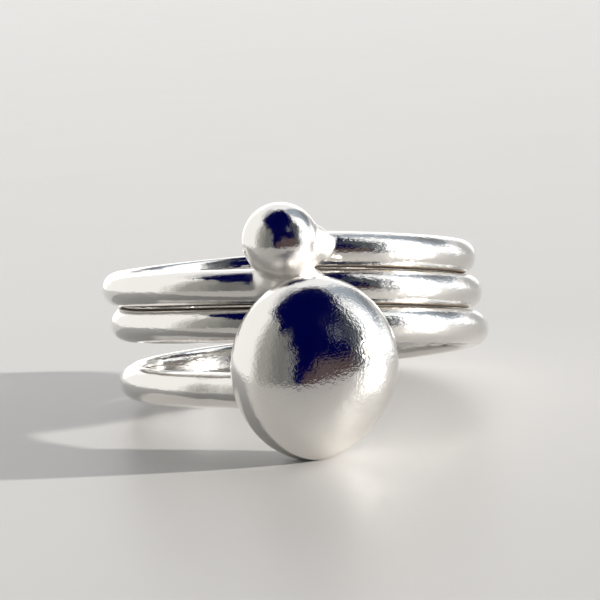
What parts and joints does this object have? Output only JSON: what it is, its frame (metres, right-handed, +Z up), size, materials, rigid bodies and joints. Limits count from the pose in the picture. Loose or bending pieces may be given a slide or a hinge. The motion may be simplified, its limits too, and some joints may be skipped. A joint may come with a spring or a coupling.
{
  "type": "wrap ring with ball and pebble ends",
  "caption": "Finger ring of silver wire wound in close turns, with a small round ball soldered at the top end and a large melted pebble at the bottom end.",
  "frame": {"origin": "on the ground, under the middle of the ring's box as it lies on its side", "axes": "+Z up from the ground; the ball and the pebble face -Y; +X is to the right seen from the front"},
  "size_m": [0.0204, 0.0266, 0.012],
  "materials": {
    "polished_silver": "mirror-polished silver with fine hand-worked marks"
  },
  "bodies": {
    "root": {"wrap_ring": "polished_silver"}
  },
  "joints": []
}
